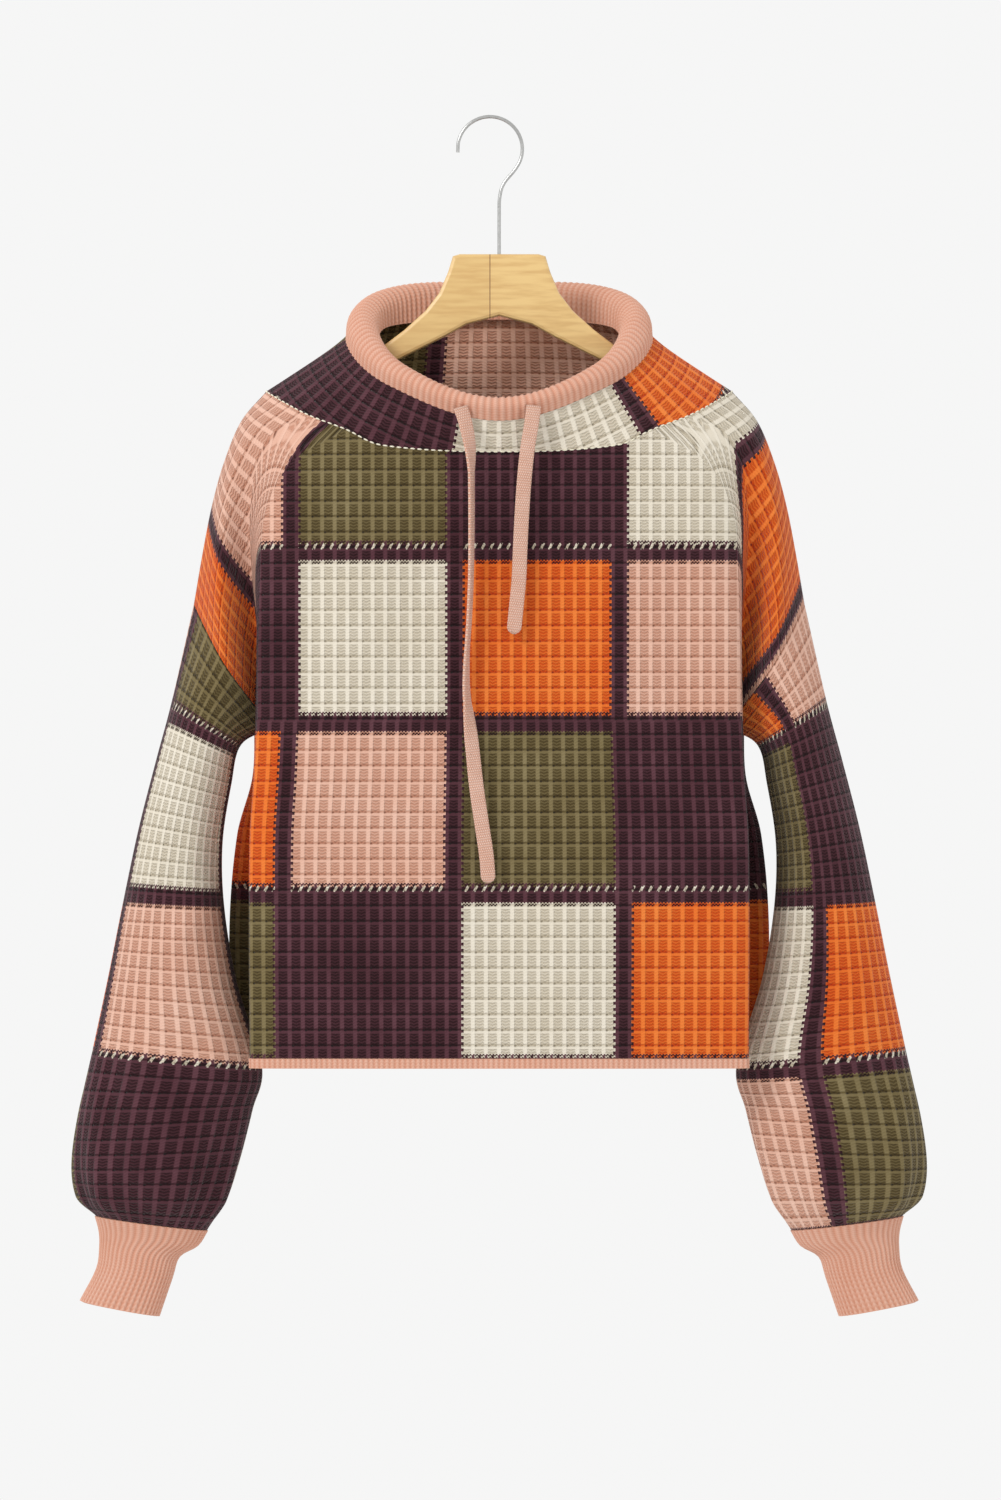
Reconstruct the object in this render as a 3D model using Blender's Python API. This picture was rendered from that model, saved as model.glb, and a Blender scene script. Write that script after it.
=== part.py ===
"""A mock neck sweater with a drawstring collar, hanging on a wooden hanger with a wire hook.

Sizes in the tables are millimetres, measured from the garment's own centre plane. +Z is up, the front
faces -Y, and the origin is the underside of the hook's arch, where a rail carries it. The cloth is one
smooth surface, worked out from rails and rings, cut into the maker's pieces and given a wall inwards.
"""

import math
from collections import namedtuple

import bmesh
import bpy
import numpy as np

MM = 0.001
CENTRE_X = 7.0
WALL = 3.0
SEAM_GAP = 0.3
NORMAL_PASSES = 3
HEM_Z = -712.0
HEM_HEIGHT = 8.0

# Colours are linear RGB, and the last two numbers are roughness and metallic.
PINK = (0.84, 0.42, 0.30, 0.9, 0.0)
CREAM = (0.82, 0.78, 0.66, 0.9, 0.0)
ORANGE = (0.87, 0.16, 0.02, 0.9, 0.0)
WOOD = (0.72, 0.46, 0.22, 0.45, 0.0)
STEEL = (0.42, 0.42, 0.41, 0.3, 1.0)

# The upper body, from the neckline (share 0) to the level of the underarm (share 1). Each column set is
# one rail: front centre, the upright fold at the body's front edge, the hollow behind it, the front of
# the arm, and the shoulder seam on top.
Upper = namedtuple(
    "Upper",
    "share front_y front_z ridge_x ridge_y ridge_z valley_x valley_y valley_z arm_x arm_y arm_z outer_x outer_z",
)
UPPER = (
    Upper(0.0, -60, -256, 115, -52, -239, 143, -42, -228, 163, -25, -217, 177, -207.5),
    Upper(0.2, -59, -285, 156, -50, -264, 177, -37, -248, 190, -27, -238, 196, -230),
    Upper(0.4, -58, -325, 176, -47, -302, 188, -30, -296, 204, -31, -278, 209, -261),
    Upper(0.6, -56, -368, 180, -46, -352, 187, -21, -350, 210, -36, -320, 218, -293),
    Upper(0.8, -55, -412, 181.5, -46, -405, 182, -15, -405, 211, -40, -366, 225, -328),
    Upper(1.0, -55, -458, 183, -46, -458, 177, -13, -458, 208, -43, -414, 232, -369),
)
EDGE_IN = 26.0
EDGE_DROP = 0.7
BACK_DEPTH = 0.92
BACK_FLARE = 4.0
BACK_RISE = 24.0
BACK_LIFTS = (1.0, 0.8, 0.45, 0.3, 0.15)
UNDERARM = (171.0, 3.0, -463.0)

# The body below the underarm: front centre, front fold, hollow, side, hollow, back fold, back centre.
Lower = namedtuple(
    "Lower",
    "z front_y ridge_x ridge_y valley_x valley_y side_x side_y rear_x rear_y flare_x flare_y back_y",
)
LOWER = (
    Lower(-458, -55, 183, -46, 177, -13, 171, 3, 177, 12, 187, 42, 51),
    Lower(-500, -55, 185, -46, 172, -20, 170, 3, 173, 20, 189, 43, 51),
    Lower(-545, -55, 188, -46, 170, -22, 169, 4, 173, 25, 201, 45, 50),
    Lower(-620, -54, 188.5, -46, 170, -22, 169, 4, 173, 27, 207, 45, 50),
    Lower(HEM_Z, -53, 188, -45, 170, -22, 169, 4, 173, 27, 204, 44, 49),
)
UPPER_SPANS = (5, 2, 3, 5, 6, 6, 5, 3, 2, 5)
LOWER_SPANS = (5, 2, 3, 3, 3, 3, 2, 5)
RIDGE, VALLEY, OUTER, REAR, REAR_RIDGE = 7, 10, 21, 32, 35
BRIDGE_SPAN = 3
UPPER_ROWS = 9
LOWER_ROWS = 9
FUNNEL_ROWS = 4

# Rings of the right sleeve, from its outer edge to its inner edge, with half its depth front to back.
Ring = namedtuple("Ring", "outer_x outer_z inner_x inner_z depth y")
SLEEVE = (
    Ring(248.5, -441.6, 196.0, -475.8, 45, 2),
    Ring(260.7, -487.2, 203.7, -506.2, 44, 3),
    Ring(274.4, -540.4, 210.5, -551.8, 42, 5),
    Ring(286.5, -597.4, 209.0, -601.2, 40, 6),
    Ring(297.2, -650.6, 199.1, -658.2, 39, 7),
    Ring(309.3, -707.6, 180.5, -719.7, 38, 6),
    Ring(320.0, -757.0, 187.0, -753.2, 39, 5),
    Ring(323.8, -795.0, 196.0, -791.2, 39, 5),
    Ring(319.0, -820.5, 207.0, -823.6, 34, 5),
    Ring(307.0, -834.0, 222.0, -845.0, 22, 5),
)
CUFF = (
    Ring(307.0, -834.0, 222.0, -845.0, 22, 5),
    Ring(304.0, -845.5, 229.5, -856.5, 18, 5),
    Ring(303.5, -858.0, 243.5, -865.0, 17, 5),
    Ring(306.0, -875.0, 249.0, -881.0, 17, 4),
    Ring(318.4, -899.0, 259.0, -910.5, 18, 3),
)
SLEEVE_COLUMNS = 28
SLEEVE_ROWS = 14
GATHERS = 7
GATHER_HEIGHT = 3.0
GATHER_TOP = 7.0
GATHER_FULL = 9.0

# Loops of the folded collar band, from the free edge inside, over the fold, to the seam outside.
Loop = namedtuple("Loop", "front_y side_x back_y z_front z_front_quarter z_side z_back_quarter z_back")
COLLAR = (
    Loop(58, 92, 50, -239, -219, -168, -153, -150),
    Loop(62, 94, 55, -222, -197, -153, -131, -127),
    Loop(68, 104, 62, -216, -190, -146, -124, -120.5),
    Loop(73, 114, 67, -222, -196, -154, -131, -127),
    Loop(66, 116, 60, -233, -206, -168, -150, -146),
)
COLLAR_WALL = 2.2
COLLAR_RIBS = 120
CUFF_RIBS = 44
CUFF_WALL = 2.2
HEM_RIBS = 132
HEM_DENSITY = 6
RIB_HEIGHT = 0.9
COLUMNS_INSIDE = 4

# Routes of the drawstrings' middle lines, from where they leave the collar band.
LEFT_ROUTE = (
    (-29, -72.2, -223), (-25, -73.4, -236), (-21.5, -73.6, -256), (-20.8, -72.6, -285), (-20.8, -70, -320),
    (-21.2, -67, -352), (-22.6, -65, -384), (-24.2, -63.5, -408), (-24.6, -62.8, -434), (-22.6, -62.5, -456),
    (-20.2, -62.3, -478), (-17, -62, -508), (-13, -62, -536), (-9.5, -62, -560), (-8, -62, -580),
)
RIGHT_ROUTE = (
    (26, -73.7, -222), (24.2, -74.6, -236), (21, -74.0, -256), (18.6, -72, -280), (17, -69, -304),
    (15.8, -67, -328), (14.8, -65.5, -352), (12.5, -64.5, -376), (10.8, -64, -393),
)
TAPE_THICKNESS = 6.0
TAPE_STEP = 15.0

# The wooden hanger, half of its outline from the middle of the top round to the middle of the bottom.
HANGER_HALF = (
    (0, -103.4), (30, -103.4), (35.2, -105), (38.8, -117), (45.6, -133), (56.2, -146.7), (72.2, -161.1),
    (87.4, -172.6), (115, -184.6), (145, -197.8), (170, -208.6), (175.6, -212.6), (178.2, -218),
    (176, -223.6), (170, -225), (150, -217), (114, -201.4), (80.6, -185.4), (42.6, -166.4), (25, -156.6),
    (0, -150),
)
HANGER_THICKNESS = 12.0
HANGER_ROUNDING = 2.5
WIRE_RADIUS = 1.35
HOOK_RADIUS = 24.6
HOOK_LAST_ANGLE = -38
STEM_TOP = -56.0
STEM_BOTTOM = -116.0
HOLE_CLEAR = 2.0
HOOK_STEP = 7.0


def clear_scene():
    for item in list(bpy.data.objects):
        bpy.data.objects.remove(item)


def material(name, finish):
    made = bpy.data.materials.new(name)
    made.use_nodes = True
    shader = made.node_tree.nodes["Principled BSDF"]
    shader.inputs["Base Color"].default_value = (*finish[:3], 1)
    shader.inputs["Roughness"].default_value = finish[3]
    shader.inputs["Metallic"].default_value = finish[4]
    return made


def unit(vectors):
    return vectors / np.linalg.norm(vectors, axis=-1, keepdims=True)


def chords(points):
    """Distance along the points, starting at 0."""
    steps = np.linalg.norm(np.diff(points, axis=0), axis=1)
    return np.concatenate([[0.0], np.cumsum(steps)])


def smooth(points, knots, at):
    """Points at the given places of a smooth curve that passes through points at knots."""
    points, knots, at = (np.asarray(values, float) for values in (points, knots, at))
    slopes = np.empty_like(points)
    slopes[1:-1] = (points[2:] - points[:-2]) / (knots[2:] - knots[:-2])[:, None]
    slopes[0] = (points[1] - points[0]) / (knots[1] - knots[0])
    slopes[-1] = (points[-1] - points[-2]) / (knots[-1] - knots[-2])
    span = np.clip(np.searchsorted(knots, at, side="right") - 1, 0, len(knots) - 2)
    width = (knots[span + 1] - knots[span])[:, None]
    s = (at - knots[span])[:, None] / width
    start = (1 + 2 * s) * (1 - s) ** 2 * points[span] + s * (1 - s) ** 2 * width * slopes[span]
    end = s**2 * (3 - 2 * s) * points[span + 1] - s**2 * (1 - s) * width * slopes[span + 1]
    return start + end


def half_section(rails, spans):
    """The section from the front centre round the +X side to the back centre, through its rails."""
    rails = np.asarray(rails, float)
    flip = np.array([-1.0, 1.0, 1.0])
    padded = np.vstack([rails[1] * flip, rails, rails[-2] * flip])
    knots = chords(padded)
    at = [
        np.linspace(knots[i + 1], knots[i + 2], spans[i], endpoint=False)
        for i in range(len(spans))
    ]
    return smooth(padded, knots, np.concatenate(at + [[knots[-2]]]))


def closed_loop(half):
    """Both sides of a section, ending where it starts, counter-clockwise from above."""
    return np.vstack([half, half[-2::-1] * [-1.0, 1.0, 1.0]])


def upper_rails(share):
    row = Upper(*smooth(UPPER, [section.share for section in UPPER], [share])[0])
    front = [
        (0.0, row.front_y, row.front_z),
        (
            row.ridge_x - EDGE_IN,
            row.front_y + 0.25 * (row.ridge_y - row.front_y),
            row.ridge_z + EDGE_DROP * (row.front_z - row.ridge_z),
        ),
        (row.ridge_x, row.ridge_y, row.ridge_z),
        (row.valley_x, row.valley_y, row.valley_z),
        (row.arm_x, row.arm_y, row.arm_z),
    ]
    rise = BACK_RISE * (1 - share) ** 1.5
    back = [
        (x, -y * BACK_DEPTH, z + rise * lift) for (x, y, z), lift in zip(front, BACK_LIFTS)
    ]
    back[2] = (back[2][0] + BACK_FLARE * share, back[2][1], back[2][2])
    return front + [(row.outer_x, 0.0, row.outer_z)] + back[::-1]


def lower_rails(z):
    """Heights run downwards, so the table is read by depth."""
    row = Lower(*smooth(LOWER, [-section.z for section in LOWER], [-z])[0])
    return [
        (0.0, row.front_y, z),
        (row.ridge_x - EDGE_IN, row.front_y + 0.25 * (row.ridge_y - row.front_y), z),
        (row.ridge_x, row.ridge_y, z),
        (row.valley_x, row.valley_y, z),
        (row.side_x, row.side_y, z),
        (row.rear_x, row.rear_y, z),
        (row.flare_x, row.flare_y, z),
        (row.flare_x - EDGE_IN, row.back_y + 0.25 * (row.flare_y - row.back_y), z),
        (0.0, row.back_y, z),
    ]


def bridge_columns(last_upper):
    """The underarm curve, from the hollow in front of it to the hollow behind it."""
    route = np.vstack([last_upper[[RIDGE, VALLEY]], UNDERARM, last_upper[[REAR, REAR_RIDGE]]])
    knots = chords(route)
    front = np.linspace(knots[1], knots[2], BRIDGE_SPAN, endpoint=False)
    back = np.linspace(knots[2], knots[3], BRIDGE_SPAN + 1)
    return smooth(route, knots, np.concatenate([front, back]))


def body_halves():
    """Half sections of the upper body and of the lower body, top to bottom."""
    upper = [half_section(upper_rails(share), UPPER_SPANS) for share in np.linspace(0, 1, UPPER_ROWS)]
    bridge = bridge_columns(upper[-1])
    first = np.vstack([upper[-1][:VALLEY], bridge, upper[-1][REAR + 1 :]])
    heights = np.linspace(LOWER[0].z, HEM_Z, LOWER_ROWS)[1:]
    lower = [first] + [half_section(lower_rails(z), LOWER_SPANS) for z in heights]
    return np.array(upper), np.array(lower), bridge


def loop_points(loop, angles):
    """Points of a collar loop at the given angles, 0 at the front centre and counter-clockwise."""
    quarters = np.radians([-45, 0, 45, 90, 135, 180, 225])
    heights = (
        loop.z_front_quarter, loop.z_front, loop.z_front_quarter, loop.z_side,
        loop.z_back_quarter, loop.z_back, loop.z_back_quarter,
    )
    folded = np.abs((np.asarray(angles) + math.pi) % (2 * math.pi) - math.pi)
    z = smooth(np.array(heights)[:, None], quarters, folded)[:, 0]
    y = np.cos(angles) * np.where(np.cos(angles) > 0, -loop.front_y, -loop.back_y)
    return np.stack([loop.side_x * np.sin(angles), y, z], axis=1)


def funnel_half(neckline):
    """Rows from the collar seam down to the neckline, a column for each column of the body."""
    along = chords(neckline)
    middle = along[OUTER]
    share = np.where(along < middle, along / middle / 2, 0.5 + (along - middle) / (along[-1] - middle) / 2)
    top = loop_points(COLLAR[-1], share * math.pi)
    return np.array([top + (neckline - top) * s for s in np.linspace(0, 1, FUNNEL_ROWS)])


def ring_points(ring, columns):
    """An oval ring, starting at its outer edge and going round by the back."""
    angles = np.linspace(0, 2 * math.pi, columns, endpoint=False)[:, None]
    outer = np.array([ring.outer_x, ring.y, ring.outer_z])
    inner = np.array([ring.inner_x, ring.y, ring.inner_z])
    depth = np.array([0.0, ring.depth, 0.0])
    return (outer + inner) / 2 + (outer - inner) / 2 * np.cos(angles) + depth * np.sin(angles)


def sleeve_grid(last_upper, bridge):
    """The right sleeve, from the armhole to the cuff seam, with gathers above the cuff."""
    armhole = np.vstack([last_upper[OUTER:REAR], bridge[::-1], last_upper[VALLEY + 1 : OUTER]])
    rings = np.array([armhole] + [ring_points(ring, SLEEVE_COLUMNS) for ring in SLEEVE])
    stations = np.arange(len(rings))
    at = np.linspace(0, stations[-1], SLEEVE_ROWS)
    rows = smooth(rings.reshape(len(rings), -1), stations, at).reshape(len(at), -1, 3)
    angles = np.linspace(0, 2 * math.pi, SLEEVE_COLUMNS, endpoint=False)
    rise = np.clip((at - GATHER_TOP) / (GATHER_FULL - GATHER_TOP), 0, 1)
    fall = np.clip((stations[-1] - at) / (stations[-1] - GATHER_FULL), 0, 1)
    middles = rows.mean(axis=1, keepdims=True)
    outwards = unit(rows - middles)
    waves = GATHER_HEIGHT * (rise * fall)[:, None] * np.cos(GATHERS * angles)
    rows = rows + outwards * waves[:, :, None]
    return np.concatenate([rows, rows[:, :1]], axis=1)


def mirrored(grid):
    """The same patch on the other side, still counter-clockwise from above."""
    return grid[:, ::-1] * [-1.0, 1.0, 1.0]


def sew(patches):
    """One set of points for all the patches, and each piece's quads as numbers of its points."""
    points, index, pieces = [], {}, {}
    for name, grid in patches:
        ids = np.empty(grid.shape[:2], int)
        for place in np.ndindex(ids.shape):
            key = tuple(np.round(grid[place], 3))
            if key not in index:
                index[key] = len(points)
                points.append(grid[place])
            ids[place] = index[key]
        quads = np.stack([ids[:-1, :-1], ids[1:, :-1], ids[1:, 1:], ids[:-1, 1:]], axis=-1)
        pieces.setdefault(name, []).extend(quads.reshape(-1, 4).tolist())
    return np.array(points), pieces


def normals_of(points, quads):
    corners = points[np.asarray(quads)]
    areas = np.cross(corners[:, 2] - corners[:, 0], corners[:, 3] - corners[:, 1])
    normals = np.zeros_like(points)
    for corner in range(4):
        np.add.at(normals, np.asarray(quads)[:, corner], areas)
    return unit(normals)


def relaxed(normals, quads):
    """Normals that turn gently from point to point, so that walls keep their sides at tight folds."""
    for _ in range(NORMAL_PASSES):
        middles = normals[np.asarray(quads)].mean(axis=1)
        sums = np.zeros_like(normals)
        for corner in range(4):
            np.add.at(sums, np.asarray(quads)[:, corner], middles)
        normals = unit(sums)
    return normals


def seam_edges(quads):
    """Edges that only one quad has, in that quad's direction."""
    edges = {(a, b) for quad in quads for a, b in zip(quad, quad[1:] + quad[:1])}
    return [(a, b) for a, b in edges if (b, a) not in edges]


def seam_offsets(points, normals, edges):
    """How far each point on a seam moves into its own piece, to leave half the gap."""
    moves = {}
    for a, b in edges:
        along = points[b] - points[a]
        inwards = unit(np.cross((normals[a] + normals[b]) / 2, along))
        for end in (a, b):
            moves.setdefault(end, []).append(inwards)
    offsets = np.zeros_like(points)
    for end, found in moves.items():
        total = np.sum(found, axis=0)
        offsets[end] = total / max(total @ total, 1.0) * len(found) * SEAM_GAP / 2
    return offsets


def split(points, quad):
    """The quad's two triangles, on its shorter diagonal, so that both sides of the garment match."""
    a, b, c, d = quad
    if np.linalg.norm(points[a] - points[c]) < np.linalg.norm(points[b] - points[d]):
        return (a, b, c), (a, c, d)
    return (a, b, d), (b, c, d)


def cloth_wall(points, normals, quads):
    """A piece of cloth as a closed wall: outside, inside and rim."""
    edges = seam_edges(quads)
    moved = points + seam_offsets(points, normals, edges)
    used = sorted({corner for quad in quads for corner in quad})
    place = {corner: i for i, corner in enumerate(used)}
    count = len(used)
    outside = moved[used]
    inside = outside - WALL * normals[used]
    triangles = [triangle for quad in quads for triangle in split(points, quad)]
    faces = [[place[corner] for corner in triangle] for triangle in triangles]
    faces += [[place[corner] + count for corner in reversed(triangle)] for triangle in triangles]
    both = np.vstack([outside, inside])
    for a, b in edges:
        faces += split(both, (place[b], place[a], place[a] + count, place[b] + count))
    return both, faces


def fan(fine, coarse, flip):
    """Triangles between a fine closed row and a coarse one that has a point for every few of it."""
    step = len(fine) // len(coarse)
    faces = []
    for i in range(len(coarse)):
        here, following = coarse[i], coarse[(i + 1) % len(coarse)]
        for j in range(step):
            a, b = fine[i * step + j], fine[(i * step + j + 1) % len(fine)]
            faces.append([a, b, here if j < step // 2 else following])
            if j == step // 2 - 1:
                faces.append([here, b, following])
    return [face[::-1] for face in faces] if flip else faces


def ribbed_wall(rings, thickness):
    """A closed band with a rib on every second column outside, over a plain inside."""
    rings = rings.copy()
    for edge, inner in ((0, 1), (-1, -2)):
        inwards = rings[inner] - rings[edge]
        rings[edge] += unit(inwards) * SEAM_GAP
    rows, columns = rings.shape[:2]
    ids = np.arange(rows * columns).reshape(rows, columns)
    wrapped = np.hstack([ids, ids[:, :1]])
    quads = np.stack([wrapped[:-1, :-1], wrapped[1:, :-1], wrapped[1:, 1:], wrapped[:-1, 1:]], axis=-1)
    quads = quads.reshape(-1, 4)
    points = rings.reshape(-1, 3)
    normals = normals_of(points, quads)
    ribs = np.tile(np.arange(columns) % 2, rows)[:, None] * RIB_HEIGHT
    plain = ids[:, ::COLUMNS_INSIDE]
    inside = points[plain.ravel()] - thickness * normals[plain.ravel()]
    within = np.arange(plain.size).reshape(plain.shape) + len(points)
    closed = np.hstack([within, within[:, :1]])
    backs = np.stack([closed[:-1, :-1], closed[:-1, 1:], closed[1:, 1:], closed[1:, :-1]], axis=-1)
    faces = quads.tolist() + backs.reshape(-1, 4).tolist()
    faces += fan(ids[0], within[0], flip=False)
    faces += fan(ids[-1], within[-1], flip=True)
    return np.vstack([points + ribs * normals, inside]), faces


def add_object(name, data, collection, finish):
    made = bpy.data.objects.new(name, data)
    collection.objects.link(made)
    data.materials.append(material(name + "_finish", finish))
    made.location.x = CENTRE_X * MM
    return made


def add_wall(name, wall, collection, finish):
    points, faces = wall
    mesh = bpy.data.meshes.new(name)
    mesh.from_pydata((points * MM).tolist(), [], faces)
    mesh.shade_smooth()
    mesh.set_sharp_from_angle(angle=math.radians(60))
    return add_object(name, mesh, collection, finish)


def cloth_pieces(collection):
    upper, lower, bridge = body_halves()
    funnel = funnel_half(upper[0])
    sleeve = sleeve_grid(upper[-1], bridge)
    side = len(LOWER_SPANS) // 2
    seam = sum(LOWER_SPANS[:side])
    patches = []
    for half, name in ((upper[:, : OUTER + 1], "front_panel"), (upper[:, OUTER:], "back_panel")):
        patches += [(name, half), (name, mirrored(half))]
    for half, name in ((lower[:, : seam + 1], "front_panel"), (lower[:, seam:], "back_panel")):
        patches += [(name, half), (name, mirrored(half))]
    patches += [("funnel_neck", funnel), ("funnel_neck", mirrored(funnel))]
    patches += [("sleeve_right", sleeve), ("sleeve_left", mirrored(sleeve))]
    points, pieces = sew(patches)
    quads = sum(pieces.values(), [])
    normals = relaxed(normals_of(points, quads), quads)
    finishes = {
        "front_panel": CREAM, "back_panel": CREAM, "funnel_neck": PINK,
        "sleeve_right": ORANGE, "sleeve_left": ORANGE,
    }
    for name, quads in pieces.items():
        add_wall(name, cloth_wall(points, normals, quads), collection, finishes[name])


def evenly(points, count):
    """The same closed curve with this many points at equal distances."""
    closed = np.vstack([points, points[:1]])
    knots = chords(closed)
    at = np.linspace(0, knots[-1], count, endpoint=False)
    return np.stack([np.interp(at, knots, closed[:, axis]) for axis in range(3)], axis=1)


def rib_bands(collection):
    angles = np.linspace(0, 2 * math.pi, 720, endpoint=False)
    crest = loop_points(COLLAR[2], angles)
    knots = chords(np.vstack([crest, crest[:1]]))
    columns = 2 * COLLAR_RIBS
    spread = np.interp(np.arange(columns) * knots[-1] / columns, knots, np.append(angles, 2 * math.pi))
    collar = np.array([loop_points(loop, spread) for loop in COLLAR])
    add_wall("collar_rib", ribbed_wall(collar, COLLAR_WALL), collection, PINK)

    hem_half = half_section(lower_rails(HEM_Z), tuple(HEM_DENSITY * count for count in LOWER_SPANS))
    hem = evenly(closed_loop(hem_half)[:-1], 2 * HEM_RIBS)
    hem = np.array([hem, hem - [0.0, 0.0, HEM_HEIGHT]])
    add_wall("hem_rib", ribbed_wall(hem, WALL), collection, PINK)

    cuff = np.array([ring_points(ring, 2 * CUFF_RIBS) for ring in CUFF])
    add_wall("cuff_right", ribbed_wall(cuff, CUFF_WALL), collection, PINK)
    add_wall("cuff_left", ribbed_wall(mirrored(cuff), CUFF_WALL), collection, PINK)


def add_tube(name, route, step, radius, collection, finish):
    """A round bar or cord along a smooth curve through its route."""
    knots = chords(np.asarray(route, float))
    count = round(knots[-1] / step) + 1
    points = smooth(route, knots, np.linspace(0, knots[-1], count))
    curve = bpy.data.curves.new(name, "CURVE")
    curve.dimensions = "3D"
    curve.bevel_depth = radius * MM
    curve.bevel_resolution = 2
    curve.use_fill_caps = True
    spline = curve.splines.new("POLY")
    spline.points.add(count - 1)
    for place, point in zip(spline.points, points):
        place.co = (*(point * MM), 1)
    return add_object(name, curve, collection, finish)


def drawstrings(collection):
    for name, route in (("drawstring_left", LEFT_ROUTE), ("drawstring_right", RIGHT_ROUTE)):
        add_tube(name, route, TAPE_STEP, TAPE_THICKNESS / 2, collection, PINK)


def hook(collection):
    """The wire from its tip, over the arch and down the stem into the wood."""
    middle_z = WIRE_RADIUS - HOOK_RADIUS
    turns = np.radians(np.linspace(186, HOOK_LAST_ANGLE, 12))
    route = [
        (HOOK_RADIUS * math.cos(turn) - CENTRE_X, 0.0, HOOK_RADIUS * math.sin(turn) + middle_z)
        for turn in turns
    ]
    route += [(3.2, 0.0, STEM_TOP + 6), (0.4, 0.0, STEM_TOP - 4), (0.0, 0.0, STEM_TOP - 16), (0.0, 0.0, STEM_BOTTOM)]
    add_tube("hook", route, HOOK_STEP, WIRE_RADIUS, collection, STEEL)


def hanger(collection, cutters):
    """The wooden arms: a flat outline with rounded edges, and a hole down its middle for the stem."""
    outline = [(x, z) for x, z in HANGER_HALF] + [(-x, z) for x, z in HANGER_HALF[-2:0:-1]]
    curve = bpy.data.curves.new("hanger_outline", "CURVE")
    curve.dimensions = "2D"
    curve.fill_mode = "BOTH"
    curve.extrude = (HANGER_THICKNESS / 2 - HANGER_ROUNDING) * MM
    curve.bevel_depth = HANGER_ROUNDING * MM
    curve.bevel_resolution = 1
    curve.offset = -HANGER_ROUNDING * MM
    spline = curve.splines.new("POLY")
    spline.points.add(len(outline) - 1)
    spline.use_cyclic_u = True
    for place, (x, z) in zip(spline.points, outline):
        place.co = (x * MM, z * MM, 0, 1)
    guide = bpy.data.objects.new("hanger_outline", curve)
    collection.objects.link(guide)
    bpy.context.view_layer.update()
    solid = bpy.data.meshes.new_from_object(guide.evaluated_get(bpy.context.evaluated_depsgraph_get()))
    bpy.data.objects.remove(guide)
    shape = bmesh.new()
    shape.from_mesh(solid)
    bmesh.ops.remove_doubles(shape, verts=shape.verts, dist=1e-6)
    bmesh.ops.recalc_face_normals(shape, faces=shape.faces)
    shape.to_mesh(solid)
    shape.free()
    wood = add_object("hanger_arms", solid, collection, WOOD)
    wood.rotation_euler.x = math.radians(90)

    hole_top = HANGER_HALF[0][1] + HOLE_CLEAR
    hole_bottom = STEM_BOTTOM - SEAM_GAP
    bpy.ops.mesh.primitive_cylinder_add(
        vertices=16,
        radius=(WIRE_RADIUS + SEAM_GAP) * MM,
        depth=(hole_top - hole_bottom) * MM,
        location=(CENTRE_X * MM, 0, (hole_top + hole_bottom) / 2 * MM),
    )
    cutter = bpy.context.object
    cutter.name = "stem_hole"
    cutter.hide_render = True
    cutter.display_type = "WIRE"
    for holder in list(cutter.users_collection):
        holder.objects.unlink(cutter)
    cutters.objects.link(cutter)
    cut = wood.modifiers.new("stem_hole", "BOOLEAN")
    cut.operation = "DIFFERENCE"
    cut.object = cutter


def main():
    clear_scene()
    part = bpy.data.collections.new("mock_neck_sweater")
    cutters = bpy.data.collections.new("cutters")
    for made in (part, cutters):
        bpy.context.scene.collection.children.link(made)
    cloth_pieces(part)
    rib_bands(part)
    drawstrings(part)
    hook(part)
    hanger(part, cutters)


main()
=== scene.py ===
"""The looks of the mock neck sweater on its hanger: knit, tapes, wood, wire and light.

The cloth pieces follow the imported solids' surface, worked out from the same rails and rings with
finer steps. Table sizes are millimetres from the garment's own centre plane. +Z is up and the
front faces -Y.
"""

import math
from collections import namedtuple

import bpy
import numpy as np
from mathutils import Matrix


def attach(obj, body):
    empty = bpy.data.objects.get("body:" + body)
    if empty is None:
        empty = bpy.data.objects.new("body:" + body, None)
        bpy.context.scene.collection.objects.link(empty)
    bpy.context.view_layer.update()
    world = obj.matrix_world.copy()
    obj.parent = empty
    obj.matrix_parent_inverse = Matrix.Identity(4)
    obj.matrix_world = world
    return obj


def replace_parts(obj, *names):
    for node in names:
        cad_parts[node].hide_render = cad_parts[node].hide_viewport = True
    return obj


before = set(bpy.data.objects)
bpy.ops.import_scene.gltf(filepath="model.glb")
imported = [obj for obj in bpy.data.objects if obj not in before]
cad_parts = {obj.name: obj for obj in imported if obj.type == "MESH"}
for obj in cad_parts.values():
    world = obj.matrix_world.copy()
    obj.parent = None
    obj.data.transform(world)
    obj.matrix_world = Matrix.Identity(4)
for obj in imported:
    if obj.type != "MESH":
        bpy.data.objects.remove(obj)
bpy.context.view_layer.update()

MM = 0.001
CENTRE_X = 7.0
WALL = 3.0
SEAM_GAP = 0.3
NORMAL_PASSES = 14
HEM_Z = -712.0
HEM_HEIGHT = 8.0

# The upper body, from the neckline (share 0) to the level of the underarm (share 1).
Upper = namedtuple(
    "Upper",
    "share front_y front_z ridge_x ridge_y ridge_z valley_x valley_y valley_z "
    "arm_x arm_y arm_z outer_x outer_z",
)
UPPER = (
    Upper(0.0, -60, -256, 115, -52, -239, 143, -42, -228, 163, -25, -217, 177, -207.5),
    Upper(0.2, -59, -285, 156, -50, -264, 177, -37, -248, 190, -27, -238, 196, -230),
    Upper(0.4, -58, -325, 176, -47, -302, 188, -30, -296, 204, -31, -278, 209, -261),
    Upper(0.6, -56, -368, 180, -46, -352, 187, -21, -350, 210, -36, -320, 218, -293),
    Upper(0.8, -55, -412, 181.5, -46, -405, 182, -15, -405, 211, -40, -366, 225, -328),
    Upper(1.0, -55, -458, 183, -46, -458, 177, -13, -458, 208, -43, -414, 232, -369),
)
EDGE_IN = 26.0
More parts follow.
